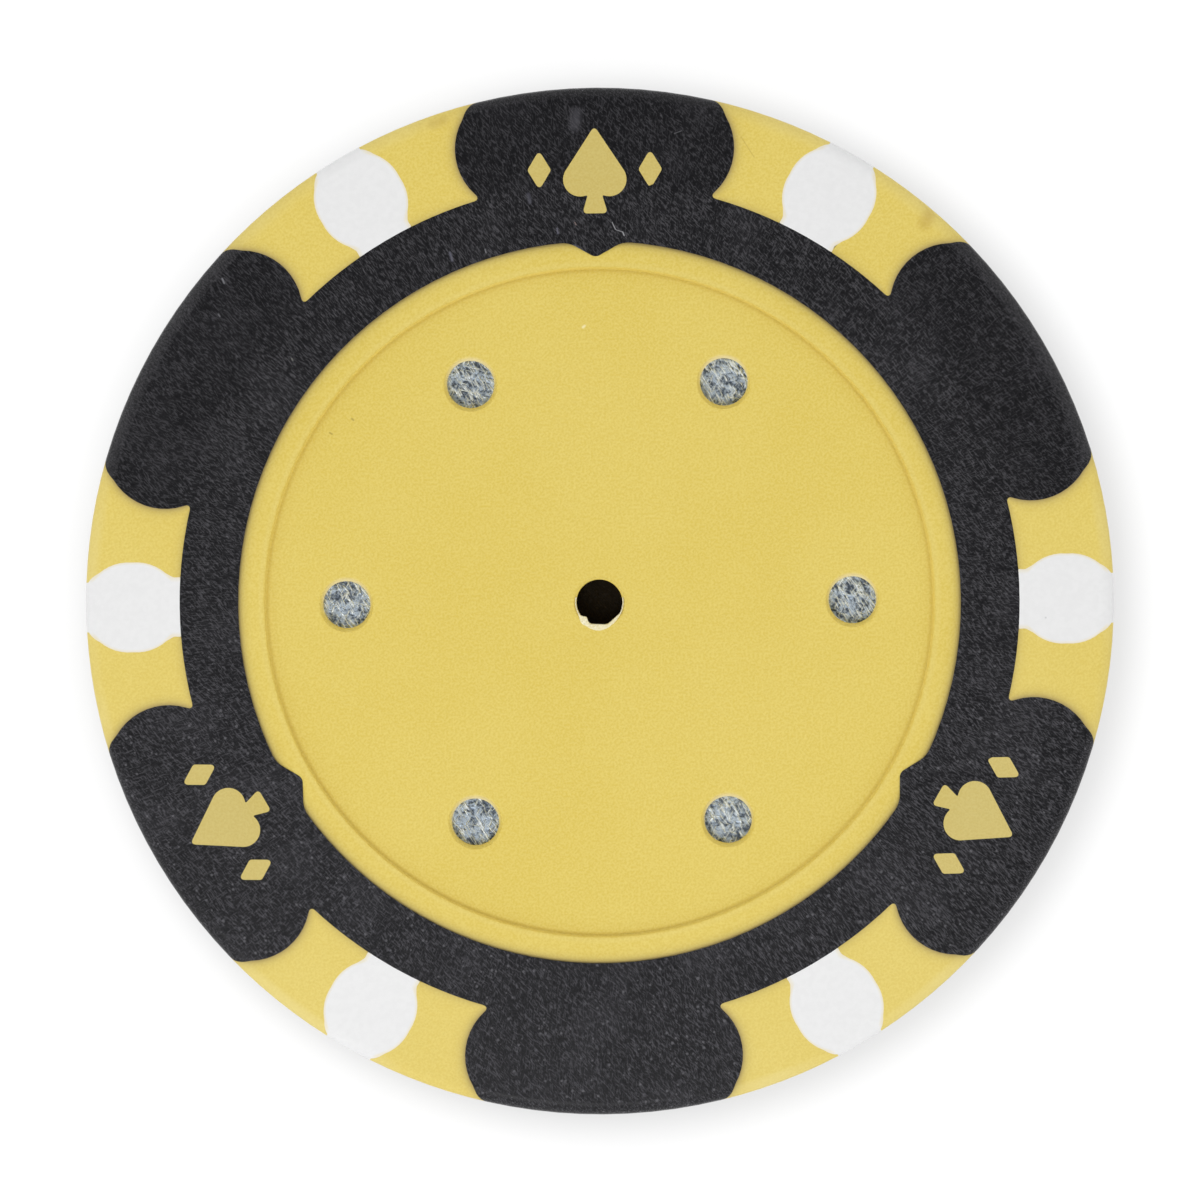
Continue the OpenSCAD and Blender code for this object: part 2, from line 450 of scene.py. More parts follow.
class Strokes(NamedTuple):
    """A set of short strokes.

    Attributes:
        direction: Angle of their direction from +X.
        length: Length of a stroke.
        width: Width of a stroke.
        wander: How far the strokes wander to the side.
        cover: How much of the surface they cover, from 0 to 1.
    """

    direction: float
    length: float
    width: float
    wander: float
    cover: float


class Specks(NamedTuple):
    """A strewing of specks.

    Attributes:
        spacing: Distance between places that may have a speck.
        size: Greatest radius of a speck.
        share: Share of those places that have one.
    """

    spacing: float
    size: float
    share: float


class Surface(Graph):
    """The graph of one material, with the place at which it is read and the effects that it shares."""

    def __init__(self, tree: bpy.types.NodeTree, effects: SharedEffects) -> None:
        """Keeps the material's tree and the shared effects, and adds the place, in the frame.

        Args:
            tree: Node tree of the material.
            effects: The shared node groups.
        """
        super().__init__(tree)
        self.effects = effects
        self.at = self.node("ShaderNodeTexCoord").outputs["Object"]

    def grain(self, size: float) -> Socket:
        """Gives even grain of a size."""
        return self.place(self.effects.grain(), Vector=self.at, Size=size)

    def strew(self, group: bpy.types.NodeTree, form: Union[Lobes, Strokes, Specks], at: Socket) -> Socket:
        """Places a group whose inputs have the names of a form's values, and reads it at a place."""
        values = {name.title(): value for name, value in form._asdict().items()}
        return self.place(group, Vector=at, **values)


class Band(NamedTuple):
    """A soft band round the axis.

    Attributes:
        middle: Radius of its middle.
        half: Half its width.
        share: How strongly it shows at its middle.
    """

    middle: float
    half: float
    share: float

    def mask(self, graph: Graph, radius: Socket) -> Socket:
        """Gives how strongly the band shows at a radius."""
        return graph.remap(graph.away(radius, self.middle), 0.0, self.half, self.share, 0.0)


class Coat(NamedTuple):
    """What a finish varies over the surface.

    Attributes:
        colour: Its colour.
        rough: Where it lies between the finish's two roughnesses, from 0 to 1.
        height: Height of its relief.
    """

    colour: Socket
    rough: Socket
    height: Socket


@dataclass(frozen=True)
class Mark:
    """One mark of use on the upper face.

    Attributes:
        x: Place along +X, in millimetres.
        y: Place along +Y, in millimetres.
        z: Height of the surface that it is on, in millimetres.
        turn: Direction of its length, in degrees from +X.
        length: Length between its round ends, in millimetres.
        width: Width, in millimetres.
        colour: Colour of the mark.
        strength: Share of that colour at its middle.
    """

    x: float
    y: float
    z: float
    turn: float
    length: float
    width: float
    colour: Colour
    strength: float

    def over(self, on: Surface, under: Feed) -> Socket:
        """Lays the mark over a colour.

        Args:
            on: Graph of the material.
            under: The colour under the mark.

        Returns:
            The socket of the colour with the mark.
        """
        mask = on.place(
            on.effects.mark(),
            Vector=on.at,
            Place=(self.x * MM, self.y * MM, self.z * MM),
            Direction=math.radians(self.turn),
            Half_Length=self.length / 2 * MM,
            Half_Width=self.width / 2 * MM,
        )
        return on.mix(on.math("MULTIPLY", mask, self.strength), under, self.colour)


@dataclass(frozen=True)
class Finish:
    """A surface finish, with the constants of its shader.

    Attributes:
        label: Name of the material.
        metallic: Share of metal in the shader.
        specular: Level of the shader's gloss.
        roughness: The two roughnesses between which the coat lies.
        relief: Height of the relief that the coat's height stands for.
        marks: Marks of use.
    """

    label: str
    metallic: float
    specular: float
    roughness: Span
    relief: float
    marks: Tuple[Mark, ...] = ()

    def coat(self, on: Surface) -> Coat:
        """Makes what varies over the surface.

        Args:
            on: Graph of the material.

        Returns:
            The coat's sockets.
        """
        raise NotImplementedError

    def marked(self, on: Surface, colour: Socket) -> Socket:
        """Lays the marks of use over a colour.

        Args:
            on: Graph of the material.
            colour: The colour under the marks.

        Returns:
            The socket of the colour with the marks.
        """
        for mark in self.marks:
            colour = mark.over(on, colour)
        return colour

    def material(self, effects: SharedEffects) -> bpy.types.Material:
        """Builds the material.

        Args:
            effects: The shared node groups.

        Returns:
            The new material.
        """
        made = bpy.data.materials.new(self.label)
        made.use_nodes = True
        on = Surface(made.node_tree, effects)
        coat = self.coat(on)
        bump = on.node("ShaderNodeBump")
        on.feed(bump.inputs["Distance"], self.relief)
        on.feed(bump.inputs["Height"], coat.height)
        shader = made.node_tree.nodes["Principled BSDF"]
        feeds = {
            "Base Color": coat.colour,
            "Roughness": on.remap(coat.rough, 0.0, 1.0, *self.roughness),
            "Normal": bump.outputs["Normal"],
            "Metallic": self.metallic,
            "Specular IOR Level": self.specular,
        }
        for name, value in feeds.items():
            on.feed(shader.inputs[name], value)
        return made


@dataclass(frozen=True)
class YellowPlastic(Finish):
    """Filled yellow plastic with fine matt grain, with painted shade beside the black, over the pads' figures
    and along the foot of the recess wall, painted highlights on the bead's lip and the pin holes' lips, and a
    lighter rim that is partly painted light and partly wear.

    Attributes:
        deep: Colour in the grain's hollows.
        pale: Colour on the grain's tops.
        seam: Colour of the painted shade beside the black, standing for light lost through the translucent
            yellow into the black.
        film: Colour of the painted shade over the figures on the pads, the same loss of light in yellow that
            black encloses.
        worn: Lighter colour on the slope at the rim, on the bead's lip and on the fields, partly wear and
            partly painted light.
        pin_pale: Colour of the painted highlights on the lips of the pin holes.
        crease: Colour of the painted shade in the line that the recess floor has along its wall.
        grain_size: Size of the grain.
        cloud_size: Size of the clouds.
        grain_weights: Shares of the grain and of the clouds in the colour.
        ring_middle: Radius of the middle of the black ring.
        ring_edge: Radius of the outer edge of the black ring.
        pads: The black pads.
        seam_width: How far from the black the painted shade has fallen to about a third.
        outer_seam: Share of that painted shade along the outer side of the ring.
        film_share: How strongly that painted shade shows.
        film_edges: Distances inside the pads between which it starts to show.
        crease_band: Where that painted shade along the wall lies.
        lip_band: Where the bead round the recess has its painted highlight along the lip.
        pins: The pin holes.
        pin_lip: Width of the painted highlight that a pin hole's lip has on its side towards +Y.
        pin_lip_blur: How far that highlight fades out.
        pin_lip_share: How strongly it shows.
        field_fade: How strongly the fields at the rim are painted lighter towards -Y, where the light falls.
        slope: Radii at which the rim starts to grow lighter and is lightest.
        cloud_wear: How strongly the slope lightens, as wear, where the clouds are thinnest and thickest.
        side_wear: Shares of that lightening towards -Y and +Y, painted light that is stronger where the light
            falls.
    """

    label: str = "filled_yellow_plastic"
    metallic: float = 0.0
    specular: float = 0.3
    roughness: Span = (0.5, 0.66)
    relief: float = 0.006 * MM
    marks: Tuple[Mark, ...] = (
        Mark(-0.48, 10.47, RECESS_Z, 40, 0.08, 0.16, srgb(250, 240, 190), 0.8),
        Mark(-9.28, 7.04, RECESS_Z, -40, 0.08, 0.12, srgb(150, 125, 60), 0.6),
        Mark(-10.11, 6.52, RECESS_Z, -30, 0.1, 0.1, srgb(150, 125, 60), 0.6),
        Mark(5.79, 17.19, FACE_Z, -58, 0.9, 0.07, srgb(190, 160, 70), 0.5),
        Mark(12.58, 14.47, FACE_Z, 60, 0.5, 0.9, srgb(190, 155, 70), 0.45),
        Mark(-5.9, 18.26, FACE_Z, 20, 0.4, 0.7, srgb(195, 165, 80), 0.4),
    )
    deep: Colour = srgb(224, 198, 89)
    pale: Colour = srgb(234, 212, 115)
    seam: Colour = srgb(166, 146, 92)
    film: Colour = srgb(150, 142, 122)
    worn: Colour = srgb(236, 219, 146)
    pin_pale: Colour = srgb(250, 238, 194)
    crease: Colour = srgb(198, 168, 62)
    grain_size: float = 0.085 * MM
    cloud_size: float = 5.0 * MM
    grain_weights: Span = (0.8, 0.2)
    ring_middle: float = 14.81 * MM
    ring_edge: float = 15.92 * MM
    pads: Lobes = Lobes(reach=17.21 * MM, round=2.3 * MM, half_width=2.98 * MM, turn=math.pi / 2)
    seam_width: float = 0.14 * MM
    outer_seam: float = 0.5
    film_share: float = 0.3
    film_edges: Span = (-0.1 * MM, -0.05 * MM)
    crease_band: Band = Band(middle=12.62 * MM, half=0.14 * MM, share=0.35)
    lip_band: Band = Band(middle=12.84 * MM, half=0.15 * MM, share=0.15)
    pins: Lobes = Lobes(reach=PIN_CIRCLE, round=PIN_ROUND)
    pin_lip: float = 0.1 * MM
    pin_lip_blur: float = 0.22 * MM
    pin_lip_share: float = 0.75
    field_fade: float = 0.2
    slope: Span = (18.8 * MM, 19.25 * MM)
    cloud_wear: Span = (0.2, 0.6)
    side_wear: Span = (1.0, 0.5)

    def _wear(self, on: Surface, radius: Socket, cloud: Socket) -> Socket:
        """Gives how strongly the slope at the rim, the lip of the bead and the fields take the lighter
        colour: painted light, and on the slope wear too.

        Args:
            on: Graph of the material.
            radius: Distance from the axis.
            cloud: How thick the clouds are.

        Returns:
            The socket of the lighter colour's share.
        """
        y = on.parts(on.at)[1]
        sides = (-self.slope[1], self.slope[1])
        by_cloud = on.remap(cloud, 0.0, 1.0, *self.cloud_wear)
        # painted light and wear: the slope lightens with the clouds, more towards -Y, where the light falls
        most = on.math("MULTIPLY", by_cloud, on.remap(y, *sides, *self.side_wear))
        slope = on.remap(radius, *self.slope, 0.0, most)
        # painted light: the fields grow lighter towards -Y
        fade = on.remap(y, *sides, self.field_fade, 0.0)
        fields = on.remap(radius, self.ring_middle, self.ring_edge, 0.0, fade)
        # painted highlight along the bead's lip
        return on.math("MAXIMUM", on.math("MAXIMUM", slope, self.lip_band.mask(on, radius)), fields)

    def _pin_lips(self, on: Surface) -> Socket:
        """Gives how strongly the painted highlights on the lips of the pin holes show.

        Args:
            on: Graph of the material.

        Returns:
            The socket of their share.
        """
        # painted highlight: a crescent on the side of each pin hole's mouth towards +Y
        shifted = on.vector_math("SUBTRACT", on.at, (0.0, self.pin_lip, 0.0))
        from_pins = on.strew(on.effects.lobes(), self.pins, shifted)
        return on.remap(from_pins, -self.pin_lip_blur / 2, self.pin_lip_blur / 2, self.pin_lip_share, 0.0)

    def _beside_black(self, on: Surface, radius: Socket, colour: Socket) -> Socket:
        """Paints shade on a colour beside the black, and over the figures on the pads, for light lost through
        the translucent yellow into the black.

        Args:
            on: Graph of the material.
            radius: Distance from the axis.
            colour: The colour to dim.

        Returns:
            The socket of the dimmed colour.
        """
        ring_half = self.ring_edge - self.ring_middle
        from_ring = on.math("SUBTRACT", on.away(radius, self.ring_middle), ring_half)
        from_pads = on.strew(on.effects.lobes(), self.pads, on.at)
        outside = on.remap(on.math("MINIMUM", from_ring, from_pads), *self.film_edges)
        # painted shade: the yellow darkens towards the black, standing for light lost through the translucent
        # yellow into the black
        by_ring, by_pads = (
            on.math("EXPONENT", on.math("DIVIDE", away, -self.seam_width), clamp=True)
            for away in (from_ring, from_pads)
        )
        by_side = on.remap(radius, self.ring_middle, self.ring_edge, 1.0, self.outer_seam)
        dimmed = on.math("MAXIMUM", on.math("MULTIPLY", by_ring, by_side), by_pads)
        colour = on.mix(on.math("MULTIPLY", dimmed, outside), colour, self.seam)
        # painted shade over the figures inside the pads
        figure_shade_mask = on.math("MULTIPLY", on.math("SUBTRACT", 1.0, outside), self.film_share)
        return on.mix(figure_shade_mask, colour, self.film)

    def coat(self, on: Surface) -> Coat:
        """Makes the yellow plastic's coat. See Finish.coat for the argument and the result."""
        grain, cloud = (on.grain(size) for size in (self.grain_size, self.cloud_size))
        radius = on.radius(on.at)
        colour = on.mix(on.weighted((grain, cloud), self.grain_weights), self.deep, self.pale)
        # painted light, and wear, on the rim, the bead's lip and the fields
        colour = on.mix(self._wear(on, radius, cloud), colour, self.worn)
        # painted highlights on the pin holes' lips
        colour = on.mix(self._pin_lips(on), colour, self.pin_pale)
        # painted shade along the foot of the recess wall
        colour = on.mix(self.crease_band.mask(on, radius), colour, self.crease)
        colour = self._beside_black(on, radius, colour)
        return Coat(self.marked(on, colour), grain, grain)


@dataclass(frozen=True)
class TornYellow(YellowPlastic):
    """The yellow plastic, whitened and coarse where it was torn."""

    label: str = "torn_yellow_plastic"
    relief: float = 0.02 * MM
    marks: Tuple[Mark, ...] = ()
    deep: Colour = srgb(240, 226, 172)
    pale: Colour = srgb(250, 244, 214)


@dataclass(frozen=True)
class BlackPlastic(Finish):
    """Filled black plastic with fine flow lines, hazy in places, with dusty specks and painted glints on it,
    its lines painted lighter towards -Y as a sheen, and a painted sheen along the rim.

    Attributes:
        base: Colour between the flow lines.
        lit: Colour of a flow line on the pads towards +Y.
        ring_lit: Colour of a flow line on the ring towards +Y.
        paler: Colour of a flow line towards -Y, painted lighter as a sheen where the light falls.
        dust: Colour of the dusty specks and of the painted glints.
        rubbed: Colour of the painted sheen along the rim's shoulder.
        rubbed_edges: Places along +Y between which the lines turn from the sheen colour to the other, the
            glints weaken and the rim's sheen grows.
        ring_edges: Radii between which the ring's colour turns to the pads'.
        lines: The flow lines that all run one way.
        flow_radius: Radius at which the lines that run outwards from the axis have the same width.
        line_weights: Shares of the lines that run outwards and of those that run one way.
        grain_size: Size of the grain.
        grain_share: How strongly the grain veils the black.
        haze_size: Size of the hazy places.
        haze_edges: Where between clear and hazy the haze starts to show and is full.
        haze_share: How strongly it shows.
        specks: Dusty specks, and painted glints, each with its strength towards -Y and towards +Y.
        rub_start: Radii between which the painted sheen along the rim's shoulder starts.
        rub_end: Radii between which it ends.
        rub_shares: How strongly it shows in the grain's hollows and on its tops.
        rub_sides: Distances to either side of the middle between which it starts to show.
    """

    label: str = "filled_black_plastic"
    metallic: float = 0.0
    specular: float = 0.17
    roughness: Span = (0.24, 0.44)
    relief: float = 0.012 * MM
    marks: Tuple[Mark, ...] = (
        Mark(0.7, 14.27, FACE_Z, -66, 0.3, 0.055, srgb(190, 190, 194), 0.65),
        Mark(0.9, 14.08, FACE_Z, -18, 0.22, 0.05, srgb(180, 180, 184), 0.6),
        Mark(1.06, 13.97, FACE_Z, -66, 0.14, 0.065, srgb(200, 200, 204), 0.75),
        Mark(-0.58, 13.37, FACE_Z, -36, 0.5, 0.24, srgb(135, 135, 145), 0.4),
        Mark(-1.43, 14.1, FACE_Z, -80, 0.18, 0.12, srgb(130, 130, 146), 0.45),
        Mark(-0.75, 14.37, FACE_Z, -62, 0.1, 0.07, srgb(165, 145, 140), 0.6),
        Mark(-0.71, 18.3, FACE_Z, 80, 0.5, 0.7, srgb(95, 94, 100), 0.4),
        Mark(3.16, 17.78, FACE_Z, 20, 0.3, 0.05, srgb(130, 130, 134), 0.5),
        Mark(-2.49, 15.34, FACE_Z, -80, 0.3, 0.25, srgb(105, 105, 116), 0.4),
        Mark(-5.47, 13.17, FACE_Z, -75, 0.3, 0.16, srgb(130, 130, 145), 0.45),
        Mark(-4.16, 13.37, FACE_Z, -75, 0.15, 0.07, srgb(155, 155, 160), 0.6),
        Mark(-14.11, 12.34, FACE_Z, -66, 0.18, 0.12, srgb(150, 150, 155), 0.6),
        Mark(-14.28, 11.04, FACE_Z, -55, 0.1, 0.1, srgb(140, 140, 145), 0.5),
        Mark(-11.53, 9.34, FACE_Z, -60, 0.08, 0.1, srgb(150, 150, 146), 0.55),
    )
    base: Colour = srgb(20, 20, 22)
    lit: Colour = srgb(65, 64, 68)
    ring_lit: Colour = srgb(80, 79, 83)
    paler: Colour = srgb(85, 84, 89)
    dust: Colour = srgb(128, 127, 132)
    rubbed: Colour = srgb(112, 111, 114)
    rubbed_edges: Span = (-8.0 * MM, 7.0 * MM)
    ring_edges: Span = (15.4 * MM, 16.6 * MM)
    lines: Strokes = Strokes(
        math.radians(132), length=0.2 * MM, width=0.042 * MM, wander=0.25 * MM, cover=0.55
    )
    flow_radius: float = 16.0 * MM
    line_weights: Span = (0.36, 0.58)
    grain_size: float = 0.07 * MM
    grain_share: float = 0.12
    haze_size: float = 2.4 * MM
    haze_edges: Span = (0.55, 1.0)
    haze_share: float = 0.08
    specks: Tuple[Tuple[Specks, Span], ...] = (
        (Specks(spacing=0.8 * MM, size=0.08 * MM, share=0.3), (0.55, 0.55)),
        (Specks(spacing=0.2 * MM, size=0.08 * MM, share=0.45), (0.42, 0.15)),
    )
    rub_start: Span = (18.93 * MM, 19.01 * MM)
    rub_end: Span = (19.34 * MM, 19.46 * MM)
    rub_shares: Span = (0.05, 0.15)
    rub_sides: Span = (3.0 * MM, 12.0 * MM)

    def _flow(self, on: Surface, radius: Socket, grain: Socket) -> Socket:
        """Gives how strongly flow lines, grain and haze veil the black.

        Args:
            on: Graph of the material.
            radius: Distance from the axis.
            grain: The grain.

        Returns:
            The socket of their strength, from 0 to 1.
        """
        x, y, height = on.parts(on.at)
        around = on.math("MULTIPLY", on.math("ARCTAN2", y, x), self.flow_radius)
        unrolled = on.join(radius, around, height)
        outwards = on.strew(on.effects.strokes(), self.lines._replace(direction=0.0), unrolled)
        one_way = on.strew(on.effects.strokes(), self.lines, on.at)
        haze = on.remap(on.grain(self.haze_size), *self.haze_edges, 0.0, self.haze_share)
        veil = on.math("ADD", on.math("MULTIPLY", grain, self.grain_share), haze)
        return on.math("ADD", on.weighted((outwards, one_way), self.line_weights), veil, clamp=True)

    def coat(self, on: Surface) -> Coat:
        """Makes the black plastic's coat. See Finish.coat for the argument and the result."""
        x, y, _ = on.parts(on.at)
        radius = on.radius(on.at)
        grain = on.grain(self.grain_size)
        strength = self._flow(on, radius, grain)
        # painted sheen: the flow lines turn lighter towards -Y
        off_sheen = on.remap(y, *self.rubbed_edges)
        line = on.mix(on.remap(radius, *self.ring_edges), self.ring_lit, self.lit)
        colour = on.mix(strength, self.base, on.mix(off_sheen, self.paler, line))
        # dusty specks, then painted glints that are stronger towards -Y
        for form, shares in self.specks:
            speck = on.strew(on.effects.specks(), form, on.at)
            share = on.math("MULTIPLY", speck, on.remap(y, *self.rubbed_edges, *shares))
            colour = on.mix(share, colour, self.dust)
        # painted sheen along the rim's shoulder, stronger towards +Y and away from x = 0, mottled by the
        # grain
        rim_sheen_share = on.remap(radius, *self.rub_start, 0.0, on.remap(grain, 0.0, 1.0, *self.rub_shares))
        rim_sheen_ends = on.remap(radius, *self.rub_end, 1.0, 0.0)
        for fade in (rim_sheen_ends, off_sheen, on.remap(on.math("ABSOLUTE", x), *self.rub_sides)):
            rim_sheen_share = on.math("MULTIPLY", rim_sheen_share, fade)
        colour = on.mix(rim_sheen_share, colour, self.rubbed)
        return Coat(self.marked(on, colour), strength, strength)


@dataclass(frozen=True)
class ShadedBlack(BlackPlastic):
    """The black plastic at the bottom of the middle hole, browned by what the yellow throws back."""

    label: str = "shaded_black_plastic"
    specular: float = 0.1
    marks: Tuple[Mark, ...] = ()
    base: Colour = srgb(30, 23, 12)
    lit: Colour = srgb(45, 36, 21)
    ring_lit: Colour = srgb(45, 36, 21)
    paler: Colour = srgb(45, 36, 21)
    dust: Colour = srgb(40, 35, 26)


@dataclass(frozen=True)
class WhitePlastic(Finish):
    """Smooth white plastic with the faintest of grain, creamy where the yellow shines through its edge.

    Attributes:
        base: Colour in the grain's hollows.
        pale: Colour on the grain's tops.
        cream: Colour at the spot's edge.
        grain_size: Size of the grain.
        spots: The round ends of the spots.
        strip: The white strips along the spots' middles, where no cream shows.
        strip_blur: Half the width over which those strips fade.
        cream_width: Width of the creamy edge.
        cream_share: How strongly it shows.
    """

    label: str = "smooth_white_plastic"
    metallic: float = 0.0
    specular: float = 0.3
    roughness: Span = (0.45, 0.52)
    relief: float = 0.002 * MM
    marks: Tuple[Mark, ...] = (
        Mark(16.9, -0.72, FACE_Z, 0, 0.0, 0.12, srgb(180, 180, 182), 0.6),
    )
    base: Colour = srgb(236, 236, 236)
    pale: Colour = srgb(239, 239, 239)
    cream: Colour = srgb(236, 224, 190)
    grain_size: float = 0.2 * MM
    spots: Lobes = Lobes(reach=17.71 * MM, round=1.71 * MM, half_length=0.15 * MM)
    strip: Lobes = spots._replace(round=1.03 * MM, half_length=2 * spots.round)
    strip_blur: float = 0.12 * MM
    cream_width: float = 0.12 * MM
    cream_share: float = 0.65

    def coat(self, on: Surface) -> Coat:
        """Makes the white plastic's coat. See Finish.coat for the argument and the result."""
        grain = on.grain(self.grain_size)
        from_spots, from_strips = (
            on.strew(on.effects.lobes(), form, on.at) for form in (self.spots, self.strip)
        )
        edge = on.remap(from_spots, -self.cream_width, 0.0, 0.0, self.cream_share)
        side = on.remap(from_strips, -self.strip_blur, self.strip_blur)
        colour = on.mix(grain, self.base, self.pale)
        colour = on.mix(on.math("MULTIPLY", edge, side), colour, self.cream)
        return Coat(self.marked(on, colour), grain, grain)


@dataclass(frozen=True)
class GalvanisedSteel(Finish):
    """Galvanised sheet, mottled and crossed by short scratches.

    Attributes:
        dark: Colour in the deep places.
        mid: Colour of the plain zinc.
        bright: Colour of the scratches.
        blotch_size: Size of the coarse mottling.
        fleck_size: Size of the fine mottling.
        mottle_weights: Shares of the coarse and of the fine mottling.
        mottle_edges: Heights between which the dark colour turns to the plain one.
        scratches: The sets of scratches.
        scratch_share: How strongly they show.
    """

    label: str = "galvanised_steel"
    metallic: float = 0.7
    specular: float = 0.5
    roughness: Span = (0.3, 0.55)
    relief: float = 0.02 * MM
    dark: Colour = srgb(84, 94, 107)
    mid: Colour = srgb(178, 192, 208)
    bright: Colour = srgb(245, 252, 255)
    blotch_size: float = 0.32 * MM
    fleck_size: float = 0.11 * MM
    mottle_weights: Span = (0.55, 0.45)
    mottle_edges: Span = (0.2, 0.75)
    scratches: Tuple[Strokes, ...] = (
        Strokes(math.radians(125), length=0.5 * MM, width=0.1 * MM, wander=0.15 * MM, cover=0.46),
        Strokes(math.radians(118), length=0.34 * MM, width=0.08 * MM, wander=0.15 * MM, cover=0.46),
        Strokes(math.radians(62), length=0.4 * MM, width=0.09 * MM, wander=0.15 * MM, cover=0.38),
        Strokes(math.radians(165), length=0.5 * MM, width=0.08 * MM, wander=0.15 * MM, cover=0.28),
    )
    scratch_share: float = 0.85

    def coat(self, on: Surface) -> Coat:
        """Makes the steel's coat. See Finish.coat for the argument and the result."""
        blotch, fleck = (on.grain(size) for size in (self.blotch_size, self.fleck_size))
        height = on.weighted((blotch, fleck), self.mottle_weights)
        colour = on.mix(on.remap(height, *self.mottle_edges), self.dark, self.mid)
        for form in self.scratches:
            scratch = on.strew(on.effects.strokes(), form, on.at)
            colour = on.mix(on.math("MULTIPLY", scratch, self.scratch_share), colour, self.bright)
            height = on.math("ADD", height, scratch)
        return Coat(colour, fleck, height)


@dataclass
class MouldedPiece:
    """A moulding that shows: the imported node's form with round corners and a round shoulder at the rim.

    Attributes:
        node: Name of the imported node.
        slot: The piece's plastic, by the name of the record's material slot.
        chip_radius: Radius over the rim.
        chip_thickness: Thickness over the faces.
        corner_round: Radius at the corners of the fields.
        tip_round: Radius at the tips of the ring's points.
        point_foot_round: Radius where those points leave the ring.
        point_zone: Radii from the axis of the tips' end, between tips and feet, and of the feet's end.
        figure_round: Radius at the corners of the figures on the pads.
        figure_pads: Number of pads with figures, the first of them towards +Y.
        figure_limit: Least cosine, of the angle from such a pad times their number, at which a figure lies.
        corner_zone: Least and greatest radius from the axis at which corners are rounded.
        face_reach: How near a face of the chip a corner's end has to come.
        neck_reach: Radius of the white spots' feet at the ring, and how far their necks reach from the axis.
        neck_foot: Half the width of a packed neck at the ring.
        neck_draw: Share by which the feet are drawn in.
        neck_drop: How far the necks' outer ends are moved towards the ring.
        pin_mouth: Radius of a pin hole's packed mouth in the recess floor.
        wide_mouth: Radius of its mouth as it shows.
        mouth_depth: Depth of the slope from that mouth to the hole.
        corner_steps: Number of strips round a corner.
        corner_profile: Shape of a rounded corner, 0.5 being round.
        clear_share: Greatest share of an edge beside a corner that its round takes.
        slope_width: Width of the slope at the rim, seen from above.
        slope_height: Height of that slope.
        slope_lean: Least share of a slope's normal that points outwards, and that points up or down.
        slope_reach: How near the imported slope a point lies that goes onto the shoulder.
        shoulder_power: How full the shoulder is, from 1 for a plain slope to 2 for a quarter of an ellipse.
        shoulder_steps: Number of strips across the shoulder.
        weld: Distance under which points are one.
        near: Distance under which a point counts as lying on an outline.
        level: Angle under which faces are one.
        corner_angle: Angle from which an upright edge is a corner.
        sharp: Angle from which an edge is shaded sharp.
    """

    node: str
    slot: Slot
    chip_radius: float
    chip_thickness: float
    corner_round: float = 0.22 * MM
    tip_round: float = 0.3 * MM
    point_foot_round: float = 0.9 * MM
    point_zone: Tuple[float, float, float] = (12.9 * MM, 13.4 * MM, 13.95 * MM)
    figure_round: float = 0.13 * MM
    figure_pads: int = 3
    figure_limit: float = 0.8
    corner_zone: Span = (12.8 * MM, 18.3 * MM)
    face_reach: float = 0.12 * MM
    neck_reach: Span = (15.92 * MM, 16.27 * MM)
    neck_foot: float = 1.34 * MM
    neck_draw: float = 0.155
    neck_drop: float = 0.13 * MM
    pin_mouth: float = 1.0 * MM
    wide_mouth: float = 1.03 * MM
    mouth_depth: float = 0.2 * MM
    corner_steps: int = 4
    corner_profile: float = 0.5
    clear_share: float = 0.92
    slope_width: float = 0.5 * MM
    slope_height: float = 0.4 * MM
    slope_lean: float = 0.3
    slope_reach: float = 0.02 * MM
    shoulder_power: float = 2.0
    shoulder_steps: int = 6
    weld: float = 0.0002 * MM
    near: float = 0.01 * MM
    level: float = math.radians(0.4)
    corner_angle: float = math.radians(20)
    sharp: float = math.radians(50)

    def _draw_in_necks(self, work: bmesh.types.BMesh) -> None:
        """Draws in the white spots' necks at the ring, alike on the spots and on the yellow round them.

        Args:
            work: The piece's mesh.
        """
        foot, end = self.neck_reach
        for vertex in work.verts:
            radius = vertex.co.xy.length
            turn = math.atan2(vertex.co.y, vertex.co.x)
            axis = round(turn / SPOT_STEP) * SPOT_STEP
            along, across = radius * math.cos(turn - axis), radius * math.sin(turn - axis)
            on_neck = along < end + self.near and abs(across) < self.neck_foot + self.near
            if radius < foot - self.near or not on_neck:
                continue
            share = min(max((end - along) / (end - foot), 0.0), 1.0)
            across *= 1 - share * self.neck_draw
            on_ring = radius < foot + self.near
            along = math.sqrt(foot ** 2 - across ** 2) if on_ring else along - (1 - share) * self.neck_drop
            vertex.co.xy = Matrix.Rotation(axis, 2) @ Vector((along, across))

    def _is_corner(self, edge: bmesh.types.BMEdge) -> bool:
        """Tells whether an edge is an upright corner that reaches a face of the chip.

        Args:
            edge: An edge of the piece's mesh.

        Returns:
            Whether it is one.
        """
        low, high = sorted((vertex.co for vertex in edge.verts), key=lambda point: point.z)
        reaches = low.z < self.face_reach or high.z > self.chip_thickness - self.face_reach
        upright = (high.xy - low.xy).length < self.weld
        in_zone = self.corner_zone[0] < low.xy.length < self.corner_zone[1]
        folded = len(edge.link_faces) == 2 and edge.calc_face_angle(0.0) > self.corner_angle
        return reaches and upright and in_zone and folded

    def _corner_radius(self, point: Vector) -> float:
        """Picks the radius for a corner.

        Args:
            point: Where the corner stands.

        Returns:
            The radius for a ring's point, for a figure, or for any other corner.
        """
        radius = point.xy.length
        tip, between, feet = self.point_zone
        if tip < radius < feet:
            return self.tip_round if radius < between else self.point_foot_round
        turn = math.atan2(point.y, point.x) - math.pi / 2
        on_figure_pad = math.cos(self.figure_pads * turn) > self.figure_limit
        return self.figure_round if on_figure_pad else self.corner_round

